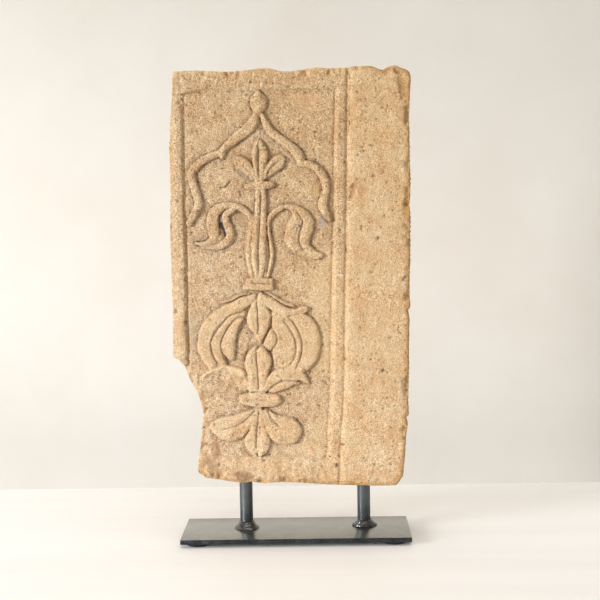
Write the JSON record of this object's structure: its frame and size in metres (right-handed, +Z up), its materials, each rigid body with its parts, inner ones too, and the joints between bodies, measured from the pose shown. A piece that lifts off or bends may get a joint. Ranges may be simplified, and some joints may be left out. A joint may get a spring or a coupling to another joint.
{
  "type": "carved keystone panel on stand",
  "caption": "Broken sandstone panel carved with a lobed arch over a lily stem and onion flower, held upright by two rods on a flat steel plate.",
  "frame": {"origin": "bottom centre of the whole piece, under the stand's plate and level with the underside of its pads", "axes": "+Z up, the carved face looks towards -Y, +X to the right as seen from the front"},
  "size_m": [0.2285, 0.083, 0.4519],
  "materials": {
    "sandstone": "matte, open grained",
    "black_steel": "semi-gloss",
    "pad_rubber": "matte"
  },
  "bodies": {
    "root": {"keystone_panel": "sandstone", "base_plate": "black_steel", "rod_left": "black_steel", "rod_right": "black_steel", "weld_left": "black_steel", "weld_right": "black_steel", "foot_pad_front_left": "pad_rubber", "foot_pad_front_right": "pad_rubber", "foot_pad_back_left": "pad_rubber", "foot_pad_back_right": "pad_rubber"}
  },
  "joints": []
}
